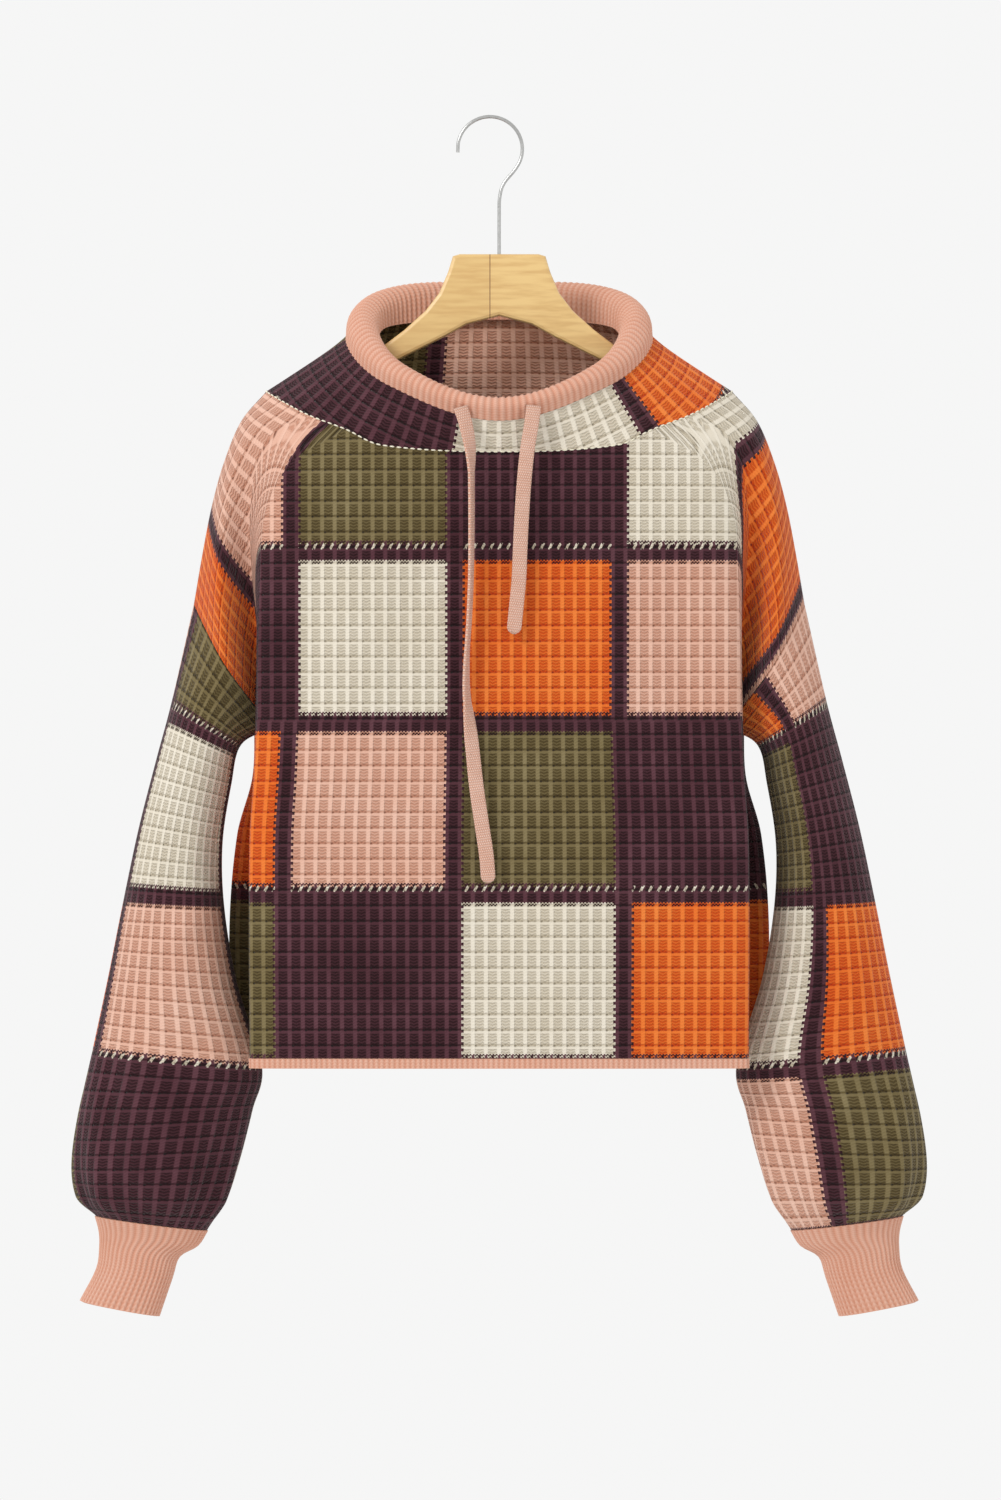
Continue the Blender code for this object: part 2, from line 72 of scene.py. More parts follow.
EDGE_DROP = 0.7
BACK_DEPTH = 0.92
BACK_FLARE = 4.0
BACK_RISE = 24.0
BACK_LIFTS = (1.0, 0.8, 0.45, 0.3, 0.15)
UNDERARM = (171.0, 3.0, -463.0)

# The body below the underarm: front centre, front fold, hollow, side, hollow, back fold and
# back centre.
Lower = namedtuple(
    "Lower",
    "z front_y ridge_x ridge_y valley_x valley_y side_x side_y rear_x rear_y "
    "flare_x flare_y back_y",
)
LOWER = (
    Lower(-458, -55, 183, -46, 177, -13, 171, 3, 177, 12, 187, 42, 51),
    Lower(-500, -55, 185, -46, 172, -20, 170, 3, 173, 20, 189, 43, 51),
    Lower(-545, -55, 188, -46, 170, -22, 169, 4, 173, 25, 201, 45, 50),
    Lower(-620, -54, 188.5, -46, 170, -22, 169, 4, 173, 27, 207, 45, 50),
    Lower(HEM_Z, -53, 188, -45, 170, -22, 169, 4, 173, 27, 204, 44, 49),
)

# Steps from rail to rail. The upper body's columns at the front fold, the hollow behind it, the
# outer side and the same places at the back follow from them.
UPPER_SPANS = (34, 6, 9, 15, 18, 18, 15, 9, 6, 34)
LOWER_SPANS = (34, 6, 9, 9, 9, 9, 6, 34)
RIDGE, VALLEY, OUTER, REAR, REAR_RIDGE = 40, 49, 82, 115, 124
BRIDGE_SPAN = 9
UPPER_ROWS = 46
LOWER_ROWS = 57
SETTLE = 32.0
FUNNEL_ROWS = 17
FUNNEL_CELLS = 34

# Rings of the right sleeve, from its outer edge to its inner edge, with half its depth from
# front to back.
Ring = namedtuple("Ring", "outer_x outer_z inner_x inner_z depth y")
SLEEVE = (
    Ring(248.5, -441.6, 196.0, -475.8, 45, 2),
    Ring(260.7, -487.2, 203.7, -506.2, 44, 3),
    Ring(274.4, -540.4, 210.5, -551.8, 42, 5),
    Ring(286.5, -597.4, 209.0, -601.2, 40, 6),
    Ring(297.2, -650.6, 199.1, -658.2, 39, 7),
    Ring(309.3, -707.6, 180.5, -719.7, 38, 6),
    Ring(320.0, -757.0, 187.0, -753.2, 39, 5),
    Ring(323.8, -795.0, 196.0, -791.2, 39, 5),
    Ring(319.0, -820.5, 207.0, -823.6, 34, 5),
    Ring(307.0, -834.0, 222.0, -845.0, 22, 5),
)
CUFF = (
    Ring(307.0, -834.0, 222.0, -845.0, 22, 5),
    Ring(304.0, -845.5, 229.5, -856.5, 18, 5),
    Ring(303.5, -858.0, 243.5, -865.0, 17, 5),
    Ring(306.0, -875.0, 249.0, -881.0, 17, 4),
    Ring(318.4, -899.0, 259.0, -910.5, 18, 3),
)
SLEEVE_COLUMNS = 84
SLEEVE_ROWS = 101
SLEEVE_CELLS = 31
GATHERS = 7
GATHER_HEIGHT = 3.2
GATHER_TOP = 6.6
GATHER_FULL = 9.0

# Loops of the folded collar band, from the free edge inside, over the fold, to the seam outside.
Loop = namedtuple(
    "Loop", "front_y side_x back_y z_front z_front_quarter z_side z_back_quarter z_back"
)
COLLAR = (
    Loop(58, 92, 50, -239, -219, -168, -153, -150),
    Loop(62, 94, 55, -222, -197, -153, -131, -127),
    Loop(68, 104, 62, -216, -190, -146, -124, -120.5),
    Loop(73, 114, 67, -222, -196, -154, -131, -127),
    Loop(66, 116, 60, -233, -206, -168, -150, -146),
)
COLLAR_WALL = 2.2
COLLAR_RIBS = 120
CUFF_RIBS = 44
CUFF_WALL = 2.2
HEM_RIBS = 260
RIB_HEIGHT = 0.9
HEM_RIB_HEIGHT = 0.7

# Columns to a rib, and rows of each band.
RIB_SAMPLES = 6
HEM_SAMPLES = 4
BAND_ROWS = 17
HEM_ROWS = 6

# Routes of the drawstrings' middle lines, from where they leave the collar band.
LEFT_ROUTE = (
    (-29, -72.2, -223), (-25, -73.4, -236), (-21.5, -73.6, -256), (-20.8, -72.6, -285),
    (-20.8, -70, -320), (-21.2, -67, -352), (-22.6, -65, -384), (-24.2, -63.5, -408),
    (-24.6, -62.8, -434), (-22.6, -62.5, -456), (-20.2, -62.3, -478), (-17, -62, -508),
    (-13, -62, -536), (-9.5, -62, -560), (-8, -62, -580),
)
RIGHT_ROUTE = (
    (26, -73.7, -222), (24.2, -74.6, -236), (21, -74.0, -256), (18.6, -72, -280), (17, -69, -304),
    (15.8, -67, -328), (14.8, -65.5, -352), (12.5, -64.5, -376), (10.8, -64, -393),
)
TAPE_WIDTH = 11.0
TAPE_THICKNESS = 3.0
TAPE_SIDES = 20
TAPE_STEP = 1.5

# The way that a tape's width points, in degrees from across, at shares of its length.
LEFT_FACING = (
    (0.0, 8), (0.06, 30), (0.14, 72), (0.5, 78), (0.62, 62), (0.70, 20), (0.8, 4), (1.0, 0),
)
RIGHT_FACING = ((0.0, -4), (0.5, 3), (1.0, 0))

# The hook: its wire, its arch and its stem.
WIRE_RADIUS = 1.35
HOOK_RADIUS = 24.6
HOOK_LAST_ANGLE = -38
STEM_TOP = -56.0
STEM_BOTTOM = -116.0

# Linear colours of the yarns, and their order in the check. Each line of blocks starts a few
# yarns further on than the line above it.
PINK = (0.66, 0.365, 0.265)
CREAM = (0.67, 0.60, 0.48)
ORANGE = (0.70, 0.128, 0.016)
OLIVE = (0.135, 0.100, 0.040)
AUBERGINE = (0.054, 0.016, 0.022)
YARNS = (CREAM, ORANGE, PINK, OLIVE, AUBERGINE)
LINE_SHIFT = 2.0

# Linear colours of the wood's halves, lit and shaded copies of one wood with the left in painted
# shade and the right in painted light, its streaks and glue, the wire and the thread.
WOOD_LEFT_PAINTED_SHADE = (0.71, 0.48, 0.190)
WOOD_RIGHT_PAINTED_LIGHT = (0.75, 0.515, 0.21)
WOOD_STREAK = (0.62, 0.385, 0.14)
WOOD_GLUE = (0.22, 0.10, 0.035)
STEEL_DARK = (0.36, 0.36, 0.35)
STEEL_PALE = (0.56, 0.56, 0.55)
THREAD_DARK = (0.66, 0.60, 0.44)
THREAD_PALE = (0.90, 0.86, 0.72)

# The waffle's cell, and the blocks of the check counted in cells.
CELL_WIDE = 9.6
CELL_HIGH = 11.7
PURLS = 5.0
BLOCK_WIDE = 13.0
BLOCK_HIGH = 11.0
FIRST_COLUMN = 4.2
FIRST_LINE = 5.4
BAND_WIDE = 1.4
BAND_HIGH = 1.25

# The height of a rib knit's stitch, and a tape's seed stitch.
RIB_COURSE = 2.3
SEED_WIDE = 1.55
SEED_HIGH = 1.9

# The neckline's running stitches. Each is a spindle of rings: share of its length, radius, lift.
STITCH_PITCH = 5.2
STITCH_LENGTH = 3.8
STITCH_SIDES = 6
STITCH_RINGS = ((0.0, 0.12, -0.1), (0.25, 0.6, 0.35), (0.75, 0.6, 0.35), (1.0, 0.12, -0.1))

# The studio, in metres.
CAMERA_DISTANCE = 5.0
CAMERA_X = 0.008
CAMERA_Z = -0.480
PHOTO_HEIGHT = 1.14
FLOOR_Z = -1.9
FLOOR_REACH = 6.0

# Each piece's flat cut, and how much of that rectangle the cloth fills.
Cut = namedtuple("Cut", "width length filled")
CUTS = {
    "front_panel": Cut(700, 505, 0.68),
    "back_panel": Cut(700, 525, 0.68),
    "funnel_neck": Cut(640, 86, 0.82),
    "sleeve_left": Cut(350, 430, 0.78),
    "sleeve_right": Cut(350, 430, 0.78),
    "collar_rib": Cut(560, 57, 1.0),
    "cuff_left": Cut(170, 70, 1.0),
    "cuff_right": Cut(170, 70, 1.0),
    "hem_rib": Cut(900, 10, 1.0),
}

# Soft creases: where each starts and ends, half its width, how far it stands out, and
# its side, -1 at the front and 1 at the back.
Crease = namedtuple("Crease", "x z end_x end_z width height side")
CREASES = (
    Crease(-58, -286, -80, -530, 17, -1.8, -1),
    Crease(72, -284, 94, -500, 15, 1.6, -1),
    Crease(132, -300, 150, -590, 12, -2.2, -1),
    Crease(-136, -300, -152, -560, 12, -2.2, -1),
    Crease(8, -430, -14, -700, 20, -1.6, -1),
    Crease(-104, -560, -112, -705, 14, 1.8, -1),
    Crease(48, -540, 60, -705, 13, 1.8, -1),
    Crease(118, -590, 124, -705, 10, -1.6, -1),
    Crease(-202, -470, -222, -600, 9, -2.8, -1),
    Crease(-236, -500, -262, -680, 12, -2.4, -1),
    Crease(-214, -600, -284, -650, 9, 2.0, -1),
    Crease(-292, -690, -298, -822, 8, -2.8, -1),
    Crease(-226, -690, -252, -826, 8, -3.0, -1),
    Crease(-262, -720, -276, -826, 6, 2.2, -1),
    Crease(206, -476, 226, -610, 9, -2.8, -1),
    Crease(240, -510, 262, -690, 12, -2.4, -1),
    Crease(222, -620, 288, -668, 9, 2.0, -1),
    Crease(288, -690, 292, -822, 8, -3.0, -1),
    Crease(228, -690, 246, -826, 8, -2.8, -1),
    Crease(254, -720, 266, -826, 6, 2.2, -1),
    Crease(-70, -290, -94, -520, 17, -1.8, 1),
    Crease(44, -280, 66, -560, 16, 1.6, 1),
    Crease(140, -310, 158, -600, 13, -2.2, 1),
    Crease(-128, -540, -140, -705, 12, 1.8, 1),
    Crease(20, -560, 10, -705, 15, -1.6, 1),
    Crease(-228, -480, -256, -640, 11, -2.4, 1),
    Crease(232, -490, 258, -650, 11, -2.4, 1),
    Crease(-286, -700, -292, -822, 8, -2.8, 1),
    Crease(-232, -700, -250, -826, 8, -2.6, 1),
    Crease(280, -700, 286, -822, 8, -2.8, 1),
    Crease(236, -700, 250, -826, 8, -2.6, 1),
)


def unit(vectors):
    return vectors / np.linalg.norm(vectors, axis=-1, keepdims=True)


def chords(points):
    """Distance along the points, starting at 0."""
    steps = np.linalg.norm(np.diff(points, axis=0), axis=1)
    return np.concatenate([[0.0], np.cumsum(steps)])


def smooth(points, knots, at):
    """Points at the given places of a smooth curve that passes through points at knots."""
    points, knots, at = (np.asarray(values, float) for values in (points, knots, at))
    slopes = np.empty_like(points)
    slopes[1:-1] = (points[2:] - points[:-2]) / (knots[2:] - knots[:-2])[:, None]
    slopes[0] = (points[1] - points[0]) / (knots[1] - knots[0])
    slopes[-1] = (points[-1] - points[-2]) / (knots[-1] - knots[-2])
    span = np.clip(np.searchsorted(knots, at, side="right") - 1, 0, len(knots) - 2)
    width = (knots[span + 1] - knots[span])[:, None]
    s = (at - knots[span])[:, None] / width
    start = (1 + 2 * s) * (1 - s) ** 2 * points[span] + s * (1 - s) ** 2 * width * slopes[span]
    end = s**2 * (3 - 2 * s) * points[span + 1] - s**2 * (1 - s) * width * slopes[span + 1]
    return start + end


def half_section(rails, spans):
    """The section from the front centre round the +X side to the back centre, by its rails."""
    rails = np.asarray(rails, float)
    flip = np.array([-1.0, 1.0, 1.0])
    padded = np.vstack([rails[1] * flip, rails, rails[-2] * flip])
    knots = chords(padded)
    at = [
        np.linspace(knots[i + 1], knots[i + 2], spans[i], endpoint=False)
        for i in range(len(spans))
    ]
    return smooth(padded, knots, np.concatenate(at + [[knots[-2]]]))


def closed_loop(half):
    """Both sides of a section, ending where it starts, counter-clockwise from above."""
    return np.vstack([half, half[-2::-1] * [-1.0, 1.0, 1.0]])


def upper_rails(share):
    row = Upper(*smooth(UPPER, [section.share for section in UPPER], [share])[0])
    front = [
        (0.0, row.front_y, row.front_z),
        (
            row.ridge_x - EDGE_IN,
            row.front_y + 0.25 * (row.ridge_y - row.front_y),
            row.ridge_z + EDGE_DROP * (row.front_z - row.ridge_z),
        ),
        (row.ridge_x, row.ridge_y, row.ridge_z),
        (row.valley_x, row.valley_y, row.valley_z),
        (row.arm_x, row.arm_y, row.arm_z),
    ]
    rise = BACK_RISE * (1 - share) ** 1.5
    back = [
        (x, -y * BACK_DEPTH, z + rise * lift) for (x, y, z), lift in zip(front, BACK_LIFTS)
    ]
    back[2] = (back[2][0] + BACK_FLARE * share, back[2][1], back[2][2])
    return front + [(row.outer_x, 0.0, row.outer_z)] + back[::-1]


def lower_rails(z):
    """Heights run downwards, so the table is read by depth."""
    row = Lower(*smooth(LOWER, [-section.z for section in LOWER], [-z])[0])
    return [
        (0.0, row.front_y, z),
        (row.ridge_x - EDGE_IN, row.front_y + 0.25 * (row.ridge_y - row.front_y), z),
        (row.ridge_x, row.ridge_y, z),
        (row.valley_x, row.valley_y, z),
        (row.side_x, row.side_y, z),
        (row.rear_x, row.rear_y, z),
        (row.flare_x, row.flare_y, z),
        (row.flare_x - EDGE_IN, row.back_y + 0.25 * (row.flare_y - row.back_y), z),
        (0.0, row.back_y, z),
    ]


def bridge_columns(last_upper):
    """The underarm curve, from the hollow in front of it to the hollow behind it."""
    route = np.vstack([last_upper[[RIDGE, VALLEY]], UNDERARM, last_upper[[REAR, REAR_RIDGE]]])
    knots = chords(route)
    front = np.linspace(knots[1], knots[2], BRIDGE_SPAN, endpoint=False)
    back = np.linspace(knots[2], knots[3], BRIDGE_SPAN + 1)
    return smooth(route, knots, np.concatenate([front, back]))


def body_halves():
    """Half sections of the upper body and of the lower body, top to bottom."""
    shares = np.linspace(0, 1, UPPER_ROWS)
    upper = [half_section(upper_rails(share), UPPER_SPANS) for share in shares]
    bridge = bridge_columns(upper[-1])
    first = np.vstack([upper[-1][:VALLEY], bridge, upper[-1][REAR + 1 :]])
    plain = half_section(lower_rails(LOWER[0].z), LOWER_SPANS)
    lower = []
    for z in np.linspace(LOWER[0].z, HEM_Z, LOWER_ROWS):
        share = min((LOWER[0].z - z) / SETTLE, 1.0)
        easing = 1 - share * share * (3 - 2 * share)
        lower.append(half_section(lower_rails(z), LOWER_SPANS) + easing * (first - plain))
    return np.array(upper), np.array(lower), bridge


def loop_points(loop, angles):
    """Points of a collar loop at the given angles, 0 at the front centre and counter-clockwise."""
    quarters = np.radians([-45, 0, 45, 90, 135, 180, 225])
    heights = (
        loop.z_front_quarter, loop.z_front, loop.z_front_quarter, loop.z_side,
        loop.z_back_quarter, loop.z_back, loop.z_back_quarter,
    )
    folded = np.abs((np.asarray(angles) + math.pi) % (2 * math.pi) - math.pi)
    z = smooth(np.array(heights)[:, None], quarters, folded)[:, 0]
    y = np.cos(angles) * np.where(np.cos(angles) > 0, -loop.front_y, -loop.back_y)
    return np.stack([loop.side_x * np.sin(angles), y, z], axis=1)


def funnel_half(neckline):
    """Rows from the collar seam down to the neckline, a column for each column of the body."""
    along = chords(neckline)
    middle = along[OUTER]
    behind = 0.5 + (along - middle) / (along[-1] - middle) / 2
    share = np.where(along < middle, along / middle / 2, behind)
    top = loop_points(COLLAR[-1], share * math.pi)
    rows = np.array([top + (neckline - top) * s for s in np.linspace(0, 1, FUNNEL_ROWS)])
    return rows, share


def ring_points(ring, columns):
    """An oval ring, starting at its outer edge and going round by the back."""
    angles = np.linspace(0, 2 * math.pi, columns, endpoint=False)[:, None]
    outer = np.array([ring.outer_x, ring.y, ring.outer_z])
    inner = np.array([ring.inner_x, ring.y, ring.inner_z])
    depth = np.array([0.0, ring.depth, 0.0])
    return (outer + inner) / 2 + (outer - inner) / 2 * np.cos(angles) + depth * np.sin(angles)


def sleeve_grid(last_upper, bridge):
    """The right sleeve, from the armhole to the cuff seam, with uneven gathers above the cuff."""
    armhole = np.vstack([last_upper[OUTER:REAR], bridge[::-1], last_upper[VALLEY + 1 : OUTER]])
    rings = np.array([armhole] + [ring_points(ring, SLEEVE_COLUMNS) for ring in SLEEVE])
    stations = np.arange(len(rings))
    at = np.linspace(0, stations[-1], SLEEVE_ROWS)
    rows = smooth(rings.reshape(len(rings), -1), stations, at).reshape(len(at), -1, 3)
    angles = np.linspace(0, 2 * math.pi, SLEEVE_COLUMNS, endpoint=False)
    rise = np.clip((at - GATHER_TOP) / (GATHER_FULL - GATHER_TOP), 0, 1)
    fall = np.clip((stations[-1] - at) / (stations[-1] - GATHER_FULL), 0, 1)
    outwards = unit(rows - rows.mean(axis=1, keepdims=True))
    uneven = 0.8 + 0.2 * np.cos(3 * angles + 1)
    folds = uneven * np.cos(GATHERS * angles + 0.5 * np.sin(2 * angles))
    waves = GATHER_HEIGHT * (rise * fall)[:, None] * folds
    rows = rows + outwards * waves[:, :, None]
    rows = np.concatenate([rows, rows[:, :1]], axis=1)
    down = chords(rows.mean(axis=1))
    round_arm = np.linspace(0, SLEEVE_CELLS * CELL_WIDE, SLEEVE_COLUMNS + 1)
    places = np.stack(np.broadcast_arrays(round_arm[None, :], down[:, None]), axis=-1)
    return rows, places


def mirrored(grid):
    """The same patch on the other side, still counter-clockwise from above."""
    flip = np.ones(grid.shape[-1])
    flip[0] = -1.0
    return grid[:, ::-1] * flip


def upper_places(upper):
    """Each point of the upper body on the flat cloth: across, and down from the hook."""
    places = np.empty(upper.shape[:2] + (2,))
    scale = LOWER[1].ridge_x / upper[-1, RIDGE, 0]
    shoulder = chords(upper[:, OUTER]) + upper[0, OUTER, 0] * scale
    for row, points in enumerate(upper):
        along = chords(points)
        around = np.abs(along - along[OUTER]) - upper[0, OUTER, 2]
        across = np.full(len(points), shoulder[row])
        chest = np.stack([points[:, 0] * scale, -points[:, 2]], axis=1)
        arm = np.stack([across, around], axis=1)
        column = np.arange(len(points))
        near = np.minimum(column, len(points) - 1 - column)
        share = np.clip((near - RIDGE) / (VALLEY - RIDGE), 0, 1)[:, None]
        places[row] = chest + share * (arm - chest)
    return places


def lower_places(lower):
    """The same for the lower body, where the rows are level."""
    places = np.empty(lower.shape[:2] + (2,))
    side = len(lower[0]) // 2
    for row, points in enumerate(lower):
        along = chords(points)
        front = along[: side + 1] * (LOWER[1].ridge_x / along[RIDGE])
        back = (along[-1] - along[side:]) * (LOWER[1].ridge_x / (along[-1] - along[-1 - RIDGE]))
        places[row, : side + 1, 0] = front
        places[row, side:, 0] = back
        places[row, :, 1] = -points[:, 2]
    return places


def cells_of(grid):
    """The four corners of each cell of a grid: down, across and back up."""
    return np.stack([grid[:-1, :-1], grid[1:, :-1], grid[1:, 1:], grid[:-1, 1:]], axis=2)


def both_sides(right, left, grid, flat):
    """A patch of the +X side and its mirror image, with the names of their pieces."""
    return [(right, grid, flat), (left, mirrored(grid), mirrored(flat))]


def sew(patches):
    """One set of points for all patches, and each piece's quads with their corners' places."""
    stacked = np.concatenate([grid.reshape(-1, 3) for _, grid, _ in patches])
    rounded = np.round(stacked, 3)
    _, first, ids = np.unique(rounded, axis=0, return_index=True, return_inverse=True)
    ids = ids.reshape(-1)
    pieces, start = {}, 0
    for name, grid, places in patches:
        size = grid.shape[0] * grid.shape[1]
        own = ids[start : start + size].reshape(grid.shape[:2])
        start += size
        found = (cells_of(own).reshape(-1, 4), cells_of(places).reshape(-1, 4, 2))
        pieces.setdefault(name, []).append(found)
    joined = {
        name: (np.concatenate([q for q, _ in found]), np.concatenate([f for _, f in found]))
        for name, found in pieces.items()
    }
    return stacked[first], joined


def summed(count, quads, values):
    """The sum, at each point, of the values of the quads that meet there."""
    total = np.zeros((count, values.shape[-1]))
    for corner in range(4):
        for axis in range(values.shape[-1]):
            total[:, axis] += np.bincount(quads[:, corner], values[:, axis], minlength=count)
    return total


def normals_of(points, quads):
    corners = points[quads]
    areas = np.cross(corners[:, 2] - corners[:, 0], corners[:, 3] - corners[:, 1])
    return unit(summed(len(points), quads, areas))


def relaxed(normals, quads):
    """Normals that turn gently from point to point, so that walls keep their sides in folds."""
    for _ in range(NORMAL_PASSES):
        normals = unit(summed(len(normals), quads, normals[quads].mean(axis=1)))
    return normals


def seam_edges(quads):
    """Edges that only one quad has, in that quad's direction."""
    ends = np.concatenate([quads[:, [i, (i + 1) % 4]] for i in range(4)])
    pairs = np.sort(ends, axis=1)
    _, place, count = np.unique(pairs, axis=0, return_inverse=True, return_counts=True)
    return ends[count[place.reshape(-1)] == 1]


def seam_offsets(points, normals, edges):
    """How far each point on a seam moves into its own piece, to leave half the gap."""
    up = normals[edges[:, 0]] + normals[edges[:, 1]]
    inwards = unit(np.cross(up, points[edges[:, 1]] - points[edges[:, 0]]))
    total, count = np.zeros_like(points), np.zeros(len(points))
    for end in (0, 1):
        np.add.at(total, edges[:, end], inwards)
        np.add.at(count, edges[:, end], 1)
    square = np.maximum((total * total).sum(axis=1), 1.0)
    return total * (count / square * SEAM_GAP / 2)[:, None]


def linked(name, data):
    made = bpy.data.objects.new(name, data)
    bpy.context.scene.collection.objects.link(made)
    return made


def garment_object(name, data, finish):
    """An object of one finish, moved from the garment's centre plane to its place in the row."""
    made = linked(name, data)
    data.materials.append(finish)
    made.location.x = CENTRE_X * MM
    return made


def mesh_object(name, points, faces, places, finish):
    """A smooth mesh. Places are its faces' corners on the flat cloth, in millimetres."""
    mesh = bpy.data.meshes.new(name)
    mesh.from_pydata((points * MM).tolist(), [], faces)
    layer = mesh.uv_layers.new(name="cloth")
    layer.data.foreach_set("uv", (places.reshape(-1) * MM).astype(np.float32))
    mesh.shade_smooth()
    return garment_object(name, mesh, finish)


def wall_object(name, outside, inside, faces, places, finish):
    """A closed wall whose edges stay sharp."""
    made = mesh_object(name, np.vstack([outside, inside]), faces.tolist(), places, finish)
    made.data.set_sharp_from_angle(angle=math.radians(60))
    return made


def declare(made, node):
    """Says which node an object stands for. All ride on the one body."""
    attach(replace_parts(made, node), "root")


def cloth_wall(name, points, normals, quads, places, finish):
    """A piece of cloth as a closed wall: outside, inside and rim."""
    edges = seam_edges(quads)
    moved = points + seam_offsets(points, normals, edges)
    used, place = np.unique(quads, return_inverse=True)
    place = place.reshape(quads.shape)
    count = len(used)
    outside = moved[used]
    inside = outside - WALL * normals[used]
    renumber = np.full(len(points), -1)
    renumber[used] = np.arange(count)
    a, b = renumber[edges[:, 0]], renumber[edges[:, 1]]
    spot = np.zeros((len(points), 2))
    spot[quads.reshape(-1)] = places.reshape(-1, 2)
    rim = np.stack([b, a, a + count, b + count], axis=1)
    rim_places = spot[used][np.stack([b, a, a, b], axis=1)]
    faces = np.concatenate([place, place[:, ::-1] + count, rim])
    flat = np.concatenate([places, places[:, ::-1], rim_places])
    return wall_object(name, outside, inside, faces, flat, finish)


def ribbed_wall(name, rings, samples, height, thickness, finish):
    """A closed band with rounded ribs outside, over a plain inside."""
    rings = rings.copy()
    for edge, inner in ((0, 1), (-1, -2)):
        rings[edge] += unit(rings[inner] - rings[edge]) * SEAM_GAP
    rows, columns = rings.shape[:2]
    count = rows * columns
    ids = np.arange(count).reshape(rows, columns)
    wrapped = np.hstack([ids, ids[:, :1]])
    quads = cells_of(wrapped).reshape(-1, 4)
    points = rings.reshape(-1, 3)
    normals = normals_of(points, quads)
    turns = np.arange(columns) / samples
    ribs = np.tile(0.5 - 0.5 * np.cos(2 * math.pi * turns), rows)[:, None] * height
    outside = points + ribs * normals
    inside = points - thickness * normals
    down = np.mean([chords(rings[:, column])[-1] for column in range(0, columns, samples)])
    across = np.arange(columns + 1)[None, :] / samples
    along = np.linspace(0, down, rows)[:, None]
    flat = cells_of(np.stack(np.broadcast_arrays(across, along), axis=-1)).reshape(-1, 4, 2)
    top = np.stack([wrapped[0, 1:], wrapped[0, :-1]], axis=1)
    bottom = np.stack([wrapped[-1, :-1], wrapped[-1, 1:]], axis=1)
    rim = np.concatenate([top, bottom])
    rim = np.hstack([rim[:, ::-1], rim + count])
    faces = np.concatenate([quads, quads[:, ::-1] + count, rim])
    places = np.concatenate([flat, flat[:, ::-1], np.zeros((len(rim), 4, 2))])
    return wall_object(name, outside, inside, faces, places, finish)


class Value:
    """What a shader node gives, so that a formula of nodes is written like any other."""

    def __init__(self, nodes, socket):
        self.nodes = nodes
        self.socket = socket

    def __add__(self, other):
        return self.nodes.math("ADD", self, other)

    def __sub__(self, other):
        return self.nodes.math("SUBTRACT", self, other)

    def __rsub__(self, other):
        return self.nodes.math("SUBTRACT", other, self)

    def __mul__(self, other):
        return self.nodes.math("MULTIPLY", self, other)

    def __truediv__(self, other):
        return self.nodes.math("DIVIDE", self, other)

    def __mod__(self, other):
        return self.nodes.math("FLOORED_MODULO", self, other)

    def __abs__(self):
        return self.nodes.math("ABSOLUTE", self)

    __radd__ = __add__

    def floor(self):
        return self.nodes.math("FLOOR", self)

    def fract(self):
        return self.nodes.math("FRACT", self)

    def sign(self):
        return self.nodes.math("SIGN", self)

    def over(self, limit):
        return self.nodes.math("GREATER_THAN", self, limit)

    def under(self, limit):
        return self.nodes.math("LESS_THAN", self, limit)

    def largest(self, other):
        return self.nodes.math("MAXIMUM", self, other)

    def wave(self):
        """A sine wave, one for each unit."""
        return self.nodes.math("SINE", self * (2 * math.pi))

    def zigzag(self):
        """Up from 0 to 1 over one unit, and down again over the next."""
        return self.nodes.math("PINGPONG", self, 1.0)

    def step(self, edge, soft):
        """0 below the edge and 1 above it, with a soft change between."""
        node = self.nodes.new("ShaderNodeMapRange")
        node.interpolation_type = "SMOOTHSTEP"
        node.inputs["From Min"].default_value = edge - soft
        node.inputs["From Max"].default_value = edge + soft
        self.nodes.put(self, node.inputs["Value"])
        return Value(self.nodes, node.outputs["Result"])

    def band(self, low, high, soft):
        """1 between low and high, with soft edges."""
        return self.step(low, soft) * (1.0 - self.step(high, soft))


